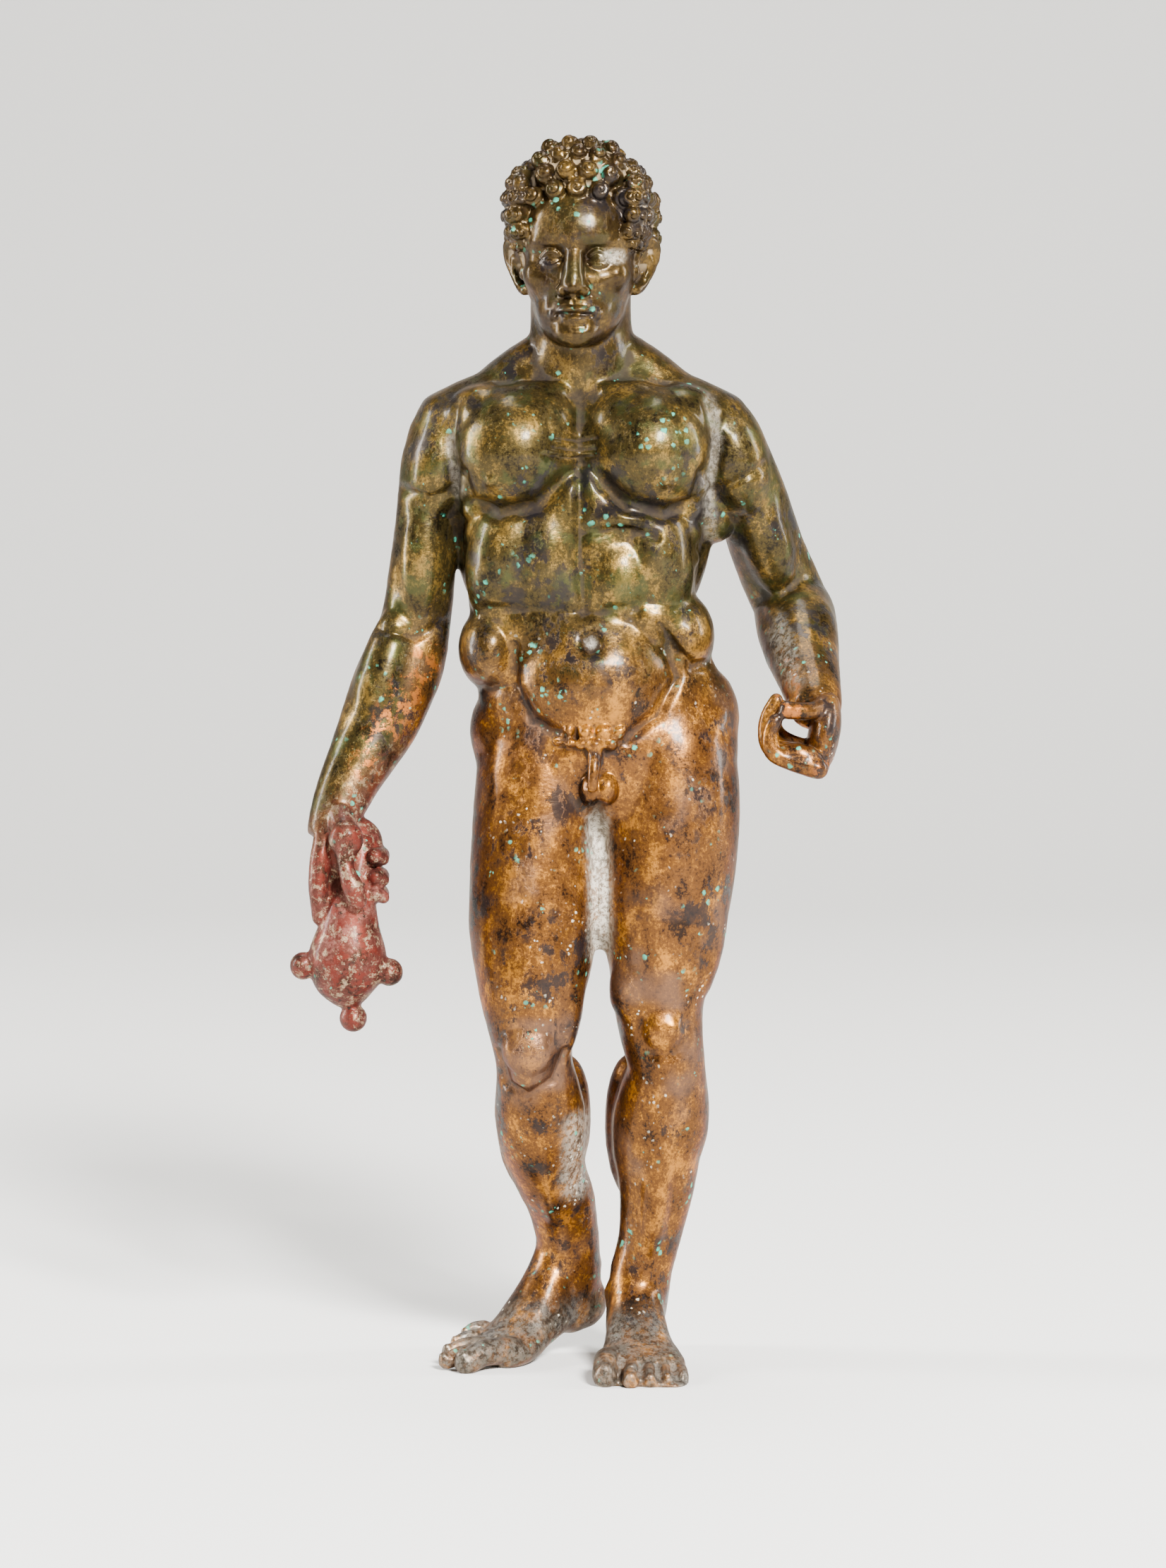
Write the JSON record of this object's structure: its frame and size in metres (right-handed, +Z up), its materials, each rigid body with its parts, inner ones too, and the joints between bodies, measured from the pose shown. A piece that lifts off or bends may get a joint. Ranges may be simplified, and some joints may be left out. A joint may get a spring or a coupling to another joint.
{
  "type": "standing bronze figure",
  "caption": "Small solid cast standing nude youth with curled hair, weight on the left leg, a purse held low in the right hand and a pierced left fist; stands free on its soles.",
  "frame": {"origin": "Middle of the ground under the figure's bounding box, in the plane of the soles.", "axes": "+Z up from the soles to the crown, -Y the way the figure looks, +X its left side."},
  "size_m": [0.0666, 0.0334, 0.15],
  "materials": {
    "patinated_bronze": "dark brown patina, rubbed semi-gloss"
  },
  "bodies": {
    "root": {"statuette": "patinated_bronze"}
  },
  "joints": []
}
